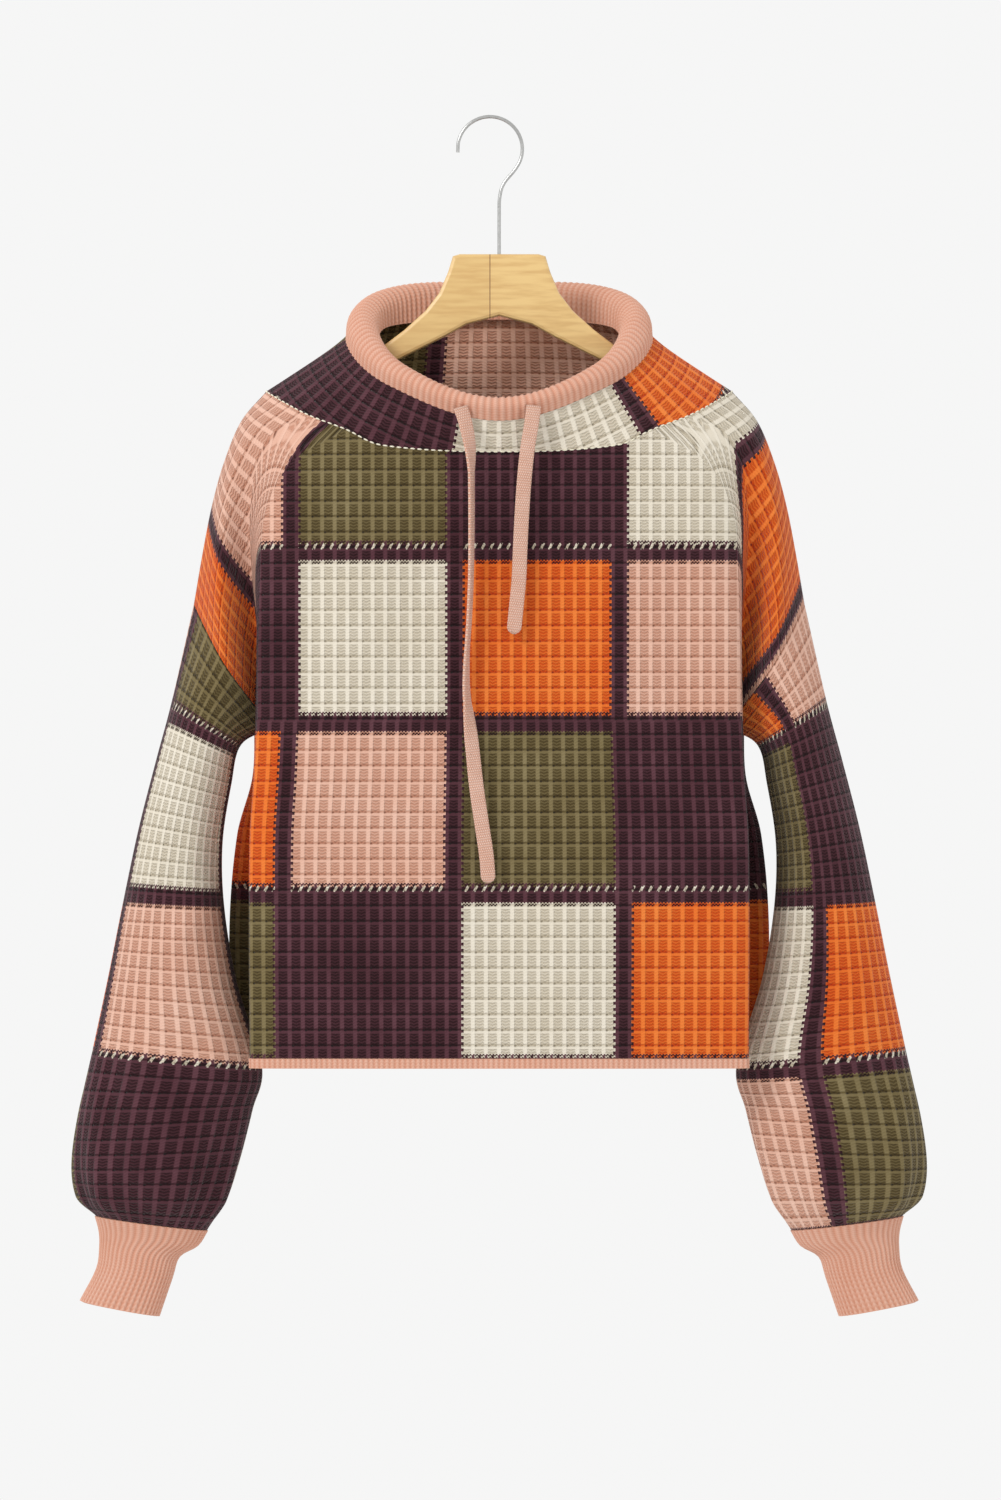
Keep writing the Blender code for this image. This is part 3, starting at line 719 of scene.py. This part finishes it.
class Nodes:
    """A material's nodes, made and linked in one call each."""

    def __init__(self, name):
        self.material = bpy.data.materials.new(name)
        self.material.use_nodes = True
        self.tree = self.material.node_tree
        self.shader = self.tree.nodes["Principled BSDF"]

    def new(self, kind):
        return self.tree.nodes.new(kind)

    def put(self, value, socket):
        """Links a value to a socket, or sets a plain number or linear colour on it."""
        if isinstance(value, Value):
            self.tree.links.new(value.socket, socket)
        else:
            socket.default_value = (*value, 1) if socket.type == "RGBA" else value

    def math(self, operation, first, second=0.0):
        node = self.new("ShaderNodeMath")
        node.operation = operation
        self.put(first, node.inputs[0])
        self.put(second, node.inputs[1])
        return Value(self, node.outputs[0])

    def mix(self, share, first, second, blend="MIX"):
        node = self.new("ShaderNodeMix")
        node.data_type = "RGBA"
        node.blend_type = blend
        self.put(share, node.inputs["Factor"])
        self.put(first, node.inputs["A"])
        self.put(second, node.inputs["B"])
        return Value(self, node.outputs["Result"])

    def grey(self, shade):
        node = self.new("ShaderNodeCombineColor")
        for socket in node.inputs[:3]:
            self.put(shade, socket)
        return Value(self, node.outputs[0])

    def deepen(self, colour, power):
        node = self.new("ShaderNodeGamma")
        self.put(colour, node.inputs["Color"])
        self.put(power, node.inputs["Gamma"])
        return Value(self, node.outputs[0])

    def split(self, vector):
        """The three parts of a vector."""
        node = self.new("ShaderNodeSeparateXYZ")
        self.put(vector, node.inputs[0])
        return [Value(self, part) for part in node.outputs]

    def cloth(self):
        """Across and down on the flat cloth, in metres."""
        node = self.new("ShaderNodeUVMap")
        node.uv_map = "cloth"
        across, down, _ = self.split(Value(self, node.outputs[0]))
        return across, down

    def place(self):
        """The place on the object, in metres."""
        return Value(self, self.new("ShaderNodeTexCoord").outputs["Object"])

    def noise(self, scale, detail=2.0, vector=None):
        node = self.new("ShaderNodeTexNoise")
        node.inputs["Scale"].default_value = scale
        node.inputs["Detail"].default_value = detail
        self.put(vector or self.place(), node.inputs["Vector"])
        return Value(self, node.outputs["Fac"])

    def blotches(self, scale):
        """Broad uneven dyeing, about 0."""
        return self.noise(scale, 3.0) - 0.5

    def fibres(self, strength):
        """The fuzz of the yarn."""
        return self.noise(1400.0, 3.0) * strength

    def colour(self, colour):
        self.put(colour, self.shader.inputs["Base Color"])

    def bump(self, height, distance, strength):
        node = self.new("ShaderNodeBump")
        node.inputs["Distance"].default_value = distance
        node.inputs["Strength"].default_value = strength
        self.put(height, node.inputs["Height"])
        self.tree.links.new(node.outputs[0], self.shader.inputs["Normal"])

    def soft_yarn(self):
        self.shader.inputs["Roughness"].default_value = 0.92
        self.shader.inputs["Specular IOR Level"].default_value = 0.12
        self.shader.inputs["Sheen Weight"].default_value = 0.12
        self.shader.inputs["Sheen Roughness"].default_value = 0.5


def waffle_height(cells, rows):
    """How high the knit stands, from its grooves and holes up to the tops of its ribs."""
    across, down = cells.fract(), rows.fract()
    rib = abs(across - 0.5).step(0.325, 0.06)
    groove = abs(down - 0.5).step(0.445, 0.035)
    plain = down.band(0.07, 0.28, 0.04)
    purl = (rows * PURLS + (cells * 4.0).zigzag() * 0.45).wave()
    field = plain * 0.74 + (1.0 - plain) * (0.36 + purl * 0.26)
    rib_top = 0.9 + (rows * PURLS + cells * 2.0).wave() * 0.05
    hole = across.band(0.17, 0.30, 0.05) * down.band(0.0, 0.10, 0.05)
    raised = rib * rib_top + (1.0 - rib) * field
    return raised - groove * (0.70 - rib * 0.25) - hole * 0.7


def yarn_of(nodes, block):
    """The yarn of the block with this number."""
    ramp = nodes.new("ShaderNodeValToRGB")
    ramp.color_ramp.interpolation = "CONSTANT"
    stops = ramp.color_ramp.elements
    count = len(YARNS)
    for _ in range(count - len(stops)):
        stops.new(0.5)
    for i, colour in enumerate(YARNS):
        stops[i].position = max(0.0, i / count - 0.05)
        stops[i].color = (*colour, 1)
    nodes.put(block % float(count) / float(count), ramp.inputs[0])
    return Value(nodes, ramp.outputs[0])


def check_colour(nodes, cells, rows):
    """The regular check with its dark bands, jagged edges and the stitches that join blocks."""
    across = cells + FIRST_COLUMN + (rows * PURLS / 2.0).wave().sign() * 0.09
    down = rows + FIRST_LINE + (cells * 4.0).wave().sign() * 0.035
    column, line = (across / BLOCK_WIDE).floor(), (down / BLOCK_HIGH).floor()
    across, down = across - column * BLOCK_WIDE, down - line * BLOCK_HIGH
    block = column + line * LINE_SHIFT
    upright = across.under(BAND_WIDE)
    aside = 1.0 - upright
    dark = upright.largest(down.under(BAND_HIGH))
    colour = nodes.mix(dark, yarn_of(nodes, block), AUBERGINE)
    dash = down.band(0.10, 0.20, 0.02) * (cells * 2.0).fract().band(0.2, 0.8, 0.08)
    colour = nodes.mix(dash * aside, colour, yarn_of(nodes, block - LINE_SHIFT))
    low_edge = down.band(BAND_HIGH + 0.09, BAND_HIGH + 0.19, 0.02)
    colour = nodes.mix(low_edge * cells.fract().band(0.2, 0.85, 0.06) * aside, colour, AUBERGINE)
    slant = (cells * 1.5 + rows * 0.9).fract()
    fleck = down.band(0.18, 0.5, 0.03) * slant.band(0.1, 0.42, 0.04)
    return nodes.mix(fleck * (line % 2.0) * aside, colour, CREAM)


def waffle_knit(name):
    """Waffle knit in a regular check of five yarns, with narrow dark bands between blocks, and
    painted shade darkening its grooves and holes.
    """
    nodes = Nodes(name)
    across, down = nodes.cloth()
    cells, rows = across / (CELL_WIDE * MM), down / (CELL_HIGH * MM)
    height = waffle_height(cells, rows)
    depth = 1.0 - height
    # Painted shade: where the knit is low, in its grooves and holes, a stronger gamma and a grey
    # multiply darken the yarn; the blotches are random dye.
    power = 0.78 + depth * 0.52 + nodes.blotches(26.0) * 0.35
    shade = 1.02 - depth.largest(0.0) * 0.17
    deep = nodes.deepen(check_colour(nodes, cells, rows), power)
    nodes.colour(nodes.mix(1.0, deep, nodes.grey(shade), "MULTIPLY"))
    nodes.bump(height + nodes.fibres(0.18), 0.0016, 0.85)
    nodes.soft_yarn()
    return nodes.material


def rib_knit(name):
    """Pink rib knit, where a unit across is one rib and the stitches lie in a V along it, with
    painted shade where the knit is low.
    """
    nodes = Nodes(name)
    across, down = nodes.cloth()
    ribs, rows = across / MM, down / (RIB_COURSE * MM)
    stitch = (rows + (ribs * 2.0).zigzag() * 0.6).wave()
    height = stitch * 0.2 + abs((ribs / 2.0).wave()) * 0.8
    # Painted shade: a stronger gamma where the ribs and stitches are low; the blotches are random
    # dye.
    power = 1.30 + nodes.blotches(30.0) * 0.3 - height * 0.42
    nodes.colour(nodes.deepen(PINK, power))
    nodes.bump(height * 0.5 + nodes.fibres(0.25), 0.0008, 0.8)
    nodes.soft_yarn()
    return nodes.material


def tape_knit(name):
    """Pink flat knit with small seed stitches, staggered from row to row, with painted shade
    between the stitches.
    """
    nodes = Nodes(name)
    across, down = nodes.cloth()
    columns, rows = across / (SEED_WIDE * MM), down / (SEED_HIGH * MM)
    odd = rows.floor() % 2.0 * 0.5
    height = abs(((columns + odd) / 2.0).wave()) * abs((rows / 2.0).wave())
    # Painted shade: a stronger gamma between the seed stitches; the blotches are random dye.
    power = 1.08 + nodes.blotches(60.0) * 0.3 - height * 0.55
    nodes.colour(nodes.deepen(PINK, power))
    nodes.bump(height + nodes.fibres(0.25), 0.0007, 0.9)
    nodes.soft_yarn()
    return nodes.material


def wood_finish(name):
    """Pale varnished wood with upright grain, in two halves glued down the middle, the left half
    in painted shade and the right in painted light.
    """
    nodes = Nodes(name)
    place = nodes.place()
    stretch = nodes.new("ShaderNodeMapping")
    stretch.inputs["Scale"].default_value = (30.0, 30.0, 260.0)
    nodes.put(place, stretch.inputs["Vector"])
    grain = nodes.noise(1.0, 4.0, Value(nodes, stretch.outputs[0]))
    across, _, _ = nodes.split(place)
    # Painted shade and light: the left half is darker and the right half lighter, as if lit from
    # the left.
    base = nodes.mix(across.over(0.0), WOOD_LEFT_PAINTED_SHADE, WOOD_RIGHT_PAINTED_LIGHT)
    streaks = nodes.mix(grain.step(0.54, 0.2), base, WOOD_STREAK)
    nodes.colour(nodes.mix(abs(across).under(0.00035), streaks, WOOD_GLUE))
    nodes.shader.inputs["Roughness"].default_value = 0.38
    nodes.shader.inputs["Coat Weight"].default_value = 0.15
    nodes.shader.inputs["Coat Roughness"].default_value = 0.25
    nodes.bump(grain, 0.0002, 0.3)
    return nodes.material


def steel_finish(name):
    nodes = Nodes(name)
    fine = nodes.noise(420.0)
    nodes.colour(nodes.mix(fine, STEEL_DARK, STEEL_PALE))
    nodes.shader.inputs["Metallic"].default_value = 1.0
    nodes.put(0.22 + fine * 0.15, nodes.shader.inputs["Roughness"])
    return nodes.material


def thread_finish(name):
    nodes = Nodes(name)
    nodes.colour(nodes.mix(nodes.noise(900.0), THREAD_DARK, THREAD_PALE))
    nodes.soft_yarn()
    return nodes.material


def floor_finish(name):
    nodes = Nodes(name)
    nodes.shader.inputs["Base Color"].default_value = (0.86, 0.86, 0.86, 1)
    nodes.shader.inputs["Roughness"].default_value = 0.9
    return nodes.material


def camera():
    data = bpy.data.cameras.new("camera")
    data.sensor_width = 36.0
    data.lens = 36.0 * CAMERA_DISTANCE / PHOTO_HEIGHT
    data.clip_end = 50.0
    made = linked("camera", data)
    made.location = (CAMERA_X, -CAMERA_DISTANCE, CAMERA_Z)
    made.rotation_euler = (math.radians(90), 0, 0)
    bpy.context.scene.camera = made


def squared(values, power):
    """A sine or cosine pushed out towards the corners of a box."""
    return np.sign(values) * np.abs(values) ** power


def tape(name, route, facing, finish):
    """A flat knitted tape with a rounded free end."""
    knots = chords(np.asarray(route, float))
    count = round(knots[-1] / TAPE_STEP) + 1
    at = np.linspace(0, knots[-1], count)
    middle = smooth(route, knots, at)
    ways = unit(np.gradient(middle, axis=0))
    turn = np.radians(np.interp(at / knots[-1], *zip(*facing)))
    level = np.stack([np.cos(turn), np.sin(turn), np.zeros(count)], axis=1)
    wide = unit(level - ways * (level * ways).sum(axis=1, keepdims=True))
    thick = np.cross(ways, wide)
    around = np.linspace(0, 2 * math.pi, TAPE_SIDES, endpoint=False)
    half = TAPE_WIDTH / 2
    x = squared(np.cos(around), 0.75) * half
    y = squared(np.sin(around), 0.6) * TAPE_THICKNESS / 2
    left = np.minimum(knots[-1] - at, half)
    taper = np.sqrt(np.clip(1 - ((half - left) / half) ** 2, 0.05, 1))[:, None, None]
    rings = middle[:, None] + wide[:, None] * x[:, None] * taper
    rings = rings + thick[:, None] * y[:, None] * np.maximum(taper, 0.6)

    ids = np.arange(count * TAPE_SIDES).reshape(count, TAPE_SIDES)
    wrapped = np.hstack([ids, ids[:, :1]])
    outwards = [0, 3, 2, 1]
    faces = cells_of(wrapped)[:, :, outwards].reshape(-1, 4).tolist()
    grid = np.stack(np.broadcast_arrays(np.append(x, x[0])[None, :], at[:, None]), axis=-1)
    flat = cells_of(grid)[:, :, outwards]
    points = rings.reshape(-1, 3)
    for row, way in ((0, -1), (-1, 1)):
        centre = len(points)
        points = np.vstack([points, rings[row].mean(axis=0)])
        pairs = np.stack([wrapped[row, :-1], wrapped[row, 1:]], axis=1)[:, ::way]
        faces += [(first, second, centre) for first, second in pairs.tolist()]
    places = np.concatenate([flat.reshape(-1, 2), np.zeros((2 * TAPE_SIDES * 3, 2))])
    made = mesh_object(name, points, faces, places, finish)
    path = (middle + [CENTRE_X, 0, 0]) * MM
    float(chords(middle)[-1]) * MM
    return made


def drawstrings():
    knit = tape_knit("pink_tape")
    for node, route, facing in (
        ("drawstring_left", LEFT_ROUTE, LEFT_FACING),
        ("drawstring_right", RIGHT_ROUTE, RIGHT_FACING),
    ):
        declare(tape(node + "_tape", route, facing, knit), node)


def creased(points):
    """The cloth with its soft creases, each pushed out or in along a line."""
    moved = points.copy()
    for crease in CREASES:
        start = np.array([crease.x, crease.z])
        along = np.array([crease.end_x, crease.end_z]) - start
        length = np.linalg.norm(along)
        spot = points[:, [0, 2]] - start
        share = spot @ along / length**2
        away = np.abs(spot[:, 0] * along[1] - spot[:, 1] * along[0]) / length
        fade = np.clip(share / 0.3, 0, 1) * np.clip((1 - share) / 0.3, 0, 1)
        fade = fade * fade * (3 - 2 * fade)
        side = points[:, 1] * crease.side > 12
        push = crease.height * np.exp(-((away / crease.width) ** 2)) * fade * side
        moved[:, 1] += crease.side * push
    return moved


def cut(node):
    """Works out a piece's flat width and filled area from the size that it was cut to, and keeps
    neither.
    """
    size = CUTS[node]
    size.width * MM
    size.width * size.length * size.filled * MM * MM


def points_at(at, knots, points, period=None):
    """Points at distances along a line of straight steps."""
    axes = [np.interp(at, knots, points[:, axis], period=period) for axis in range(3)]
    return np.stack(axes, axis=1)


def stitch_faces(base):
    """The faces of a spindle whose points start at base: its sides, then its two ends."""
    faces = []
    last = base + (len(STITCH_RINGS) - 1) * STITCH_SIDES
    for ring in range(base, last, STITCH_SIDES):
        for i in range(STITCH_SIDES):
            a, b = ring + i, ring + (i + 1) % STITCH_SIDES
            faces.append((a, b, b + STITCH_SIDES, a + STITCH_SIDES))
    faces.append(tuple(base + i for i in reversed(range(STITCH_SIDES))))
    faces.append(tuple(last + i for i in range(STITCH_SIDES)))
    return faces


def neckline_stitches(seam, normals):
    """Cream running stitches along the neckline seam, as one mesh of short spindles."""
    closed = np.vstack([seam, seam[:1]])
    knots = chords(closed)
    count = round(knots[-1] / STITCH_PITCH)
    at = (np.arange(count) + 0.5) * knots[-1] / count
    outwards = unit(points_at(at, knots, np.vstack([normals, normals[:1]])))
    starts = points_at(at - STITCH_LENGTH / 2, knots, closed, period=knots[-1])
    ends = points_at(at + STITCH_LENGTH / 2, knots, closed, period=knots[-1])
    around = np.linspace(0, 2 * math.pi, STITCH_SIDES, endpoint=False)
    points, faces = [], []
    for first, last, up in zip(starts, ends, outwards):
        side = np.cross(unit(last - first), up)
        faces += stitch_faces(len(points))
        for share, radius, lift in STITCH_RINGS:
            middle = first + (last - first) * share + up * lift
            for turn in around:
                points.append(middle + radius * (math.cos(turn) * side + math.sin(turn) * up))
    mesh = bpy.data.meshes.new("neckline_stitches")
    mesh.from_pydata((np.array(points) * MM).tolist(), [], faces)
    mesh.shade_smooth()
    made = garment_object("neckline_stitches", mesh, thread_finish("cream_thread"))
    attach(made, "root")


def cloth_pieces():
    upper, lower, bridge = body_halves()
    funnel, share = funnel_half(upper[0])
    sleeve, sleeve_flat = sleeve_grid(upper[-1], bridge)
    drop = np.linalg.norm(funnel[-1] - funnel[0], axis=1)
    depth = np.linspace(0, 1, FUNNEL_ROWS)[:, None] * drop + 0.2 * CELL_HIGH
    round_neck = share[None, :] * FUNNEL_CELLS * CELL_WIDE
    funnel_flat = np.stack(np.broadcast_arrays(round_neck, depth), axis=-1)
    sleeve_flat = sleeve_flat + [0.0, 2.0 * CELL_HIGH]
    patches = []
    for grid, flat, side in (
        (upper, upper_places(upper), OUTER),
        (lower, lower_places(lower), len(lower[0]) // 2),
    ):
        front, back = slice(None, side + 1), slice(side, None)
        patches += both_sides("front_panel", "front_panel", grid[:, front], flat[:, front])
        patches += both_sides("back_panel", "back_panel", grid[:, back], flat[:, back])
    patches += both_sides("funnel_neck", "funnel_neck", funnel, funnel_flat)
    patches += both_sides("sleeve_right", "sleeve_left", sleeve, sleeve_flat)
    points, pieces = sew(patches)
    everything = np.concatenate([quads for quads, _ in pieces.values()])
    seam = closed_loop(upper[0])[:-1]
    nearest = [np.abs(points - spot).sum(axis=1).argmin() for spot in seam]
    points = creased(points)
    normals = relaxed(normals_of(points, everything), everything)
    knit = waffle_knit("waffle_check")
    for name, (quads, places) in pieces.items():
        made = cloth_wall(name + "_cloth", points, normals, quads, places, knit)
        cut(name)
        declare(made, name)
    neckline_stitches(points[nearest], normals[nearest])


def evenly(points, count):
    """The same closed curve with this many points at equal distances."""
    closed = np.vstack([points, points[:1]])
    knots = chords(closed)
    at = np.linspace(0, knots[-1], count, endpoint=False)
    return points_at(at, knots, closed)


def between(table, rows):
    """Rows of a table at finer steps, on smooth curves through its values."""
    kind = type(table[0])
    at = np.linspace(0, len(table) - 1, rows)
    return [kind(*row) for row in smooth(table, np.arange(len(table)), at)]


def rib_bands():
    angles = np.linspace(0, 2 * math.pi, 720, endpoint=False)
    crest = loop_points(COLLAR[2], angles)
    knots = chords(np.vstack([crest, crest[:1]]))
    columns = RIB_SAMPLES * COLLAR_RIBS
    steps = np.arange(columns) * knots[-1] / columns
    spread = np.interp(steps, knots, np.append(angles, 2 * math.pi))
    collar = np.array([loop_points(loop, spread) for loop in between(COLLAR, BAND_ROWS)])

    hem_half = half_section(lower_rails(HEM_Z), LOWER_SPANS)
    edge = evenly(closed_loop(hem_half)[:-1], HEM_SAMPLES * HEM_RIBS)
    falls = np.linspace(0, 1, HEM_ROWS) * HEM_HEIGHT
    hem = np.array([edge - [0.0, 0.0, fall] for fall in falls])

    columns = RIB_SAMPLES * CUFF_RIBS
    cuff = np.array([ring_points(ring, columns) for ring in between(CUFF, BAND_ROWS)])

    knit = rib_knit("pink_rib")
    for node, rings, samples, height, wall in (
        ("collar_rib", collar, RIB_SAMPLES, RIB_HEIGHT, COLLAR_WALL),
        ("hem_rib", hem, HEM_SAMPLES, HEM_RIB_HEIGHT, WALL),
        ("cuff_right", cuff, RIB_SAMPLES, RIB_HEIGHT, CUFF_WALL),
        ("cuff_left", mirrored(cuff), RIB_SAMPLES, RIB_HEIGHT, CUFF_WALL),
    ):
        made = ribbed_wall(node + "_cloth", rings, samples, height, wall, knit)
        cut(node)
        declare(made, node)


def hook():
    """The wire from its tip, over the arch and down the stem into the wood."""
    middle_z = WIRE_RADIUS - HOOK_RADIUS
    turns = np.radians(np.linspace(186, HOOK_LAST_ANGLE, 12))
    route = [
        (HOOK_RADIUS * math.cos(turn) - CENTRE_X, 0.0, HOOK_RADIUS * math.sin(turn) + middle_z)
        for turn in turns
    ]
    route += [(3.2, 0.0, STEM_TOP + 6), (0.4, 0.0, STEM_TOP - 4)]
    route += [(0.0, 0.0, STEM_TOP - 16), (0.0, 0.0, STEM_BOTTOM)]
    knots = chords(np.array(route))
    count = round(knots[-1] / 2) + 1
    points = smooth(route, knots, np.linspace(0, knots[-1], count))
    curve = bpy.data.curves.new("hook_wire", "CURVE")
    curve.dimensions = "3D"
    curve.bevel_depth = WIRE_RADIUS * MM
    curve.bevel_resolution = 5
    curve.use_fill_caps = True
    spline = curve.splines.new("POLY")
    spline.points.add(count - 1)
    for place, point in zip(spline.points, points):
        place.co = (*(point * MM), 1)
    made = garment_object("hook_wire", curve, steel_finish("brushed_steel"))
    declare(made, "hook")


def hanger():
    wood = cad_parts["hanger_arms"]
    wood.data.materials.clear()
    wood.data.materials.append(wood_finish("pale_wood"))


def light(name, place, target, size, power):
    data = bpy.data.lights.new(name, "AREA")
    data.shape = "DISK"
    data.size = size
    data.energy = power
    made = linked(name, data)
    made.location = place
    aim = np.array(target) - np.array(place)
    yaw = math.atan2(aim[1], aim[0]) - math.pi / 2
    pitch = math.atan2(aim[2], math.hypot(aim[0], aim[1])) + math.pi / 2
    made.rotation_euler = (pitch, 0, yaw)


def studio():
    mesh = bpy.data.meshes.new("floor")
    far = FLOOR_REACH
    corners = [(-far, -far, 0), (far, -far, 0), (far, far, 0), (-far, far, 0)]
    mesh.from_pydata(corners, [], [(0, 1, 2, 3)])
    floor = linked("floor", mesh)
    floor.location = (0, 0, FLOOR_Z)
    mesh.materials.append(floor_finish("floor_white"))
    world = bpy.data.worlds.new("studio")
    bpy.context.scene.world = world
    world.use_nodes = True
    background = world.node_tree.nodes["Background"]
    background.inputs["Color"].default_value = (0.95, 0.95, 0.948, 1)
    background.inputs["Strength"].default_value = 0.97
    light("key", (-2.2, -2.2, 1.5), (0, 0, -0.45), 1.2, 52)
    light("fill", (2.2, -2.4, -0.2), (0, 0, -0.5), 2.2, 5)
    bpy.context.scene.view_settings.view_transform = "Standard"


camera()
drawstrings()
cloth_pieces()
rib_bands()
hook()
hanger()
studio()
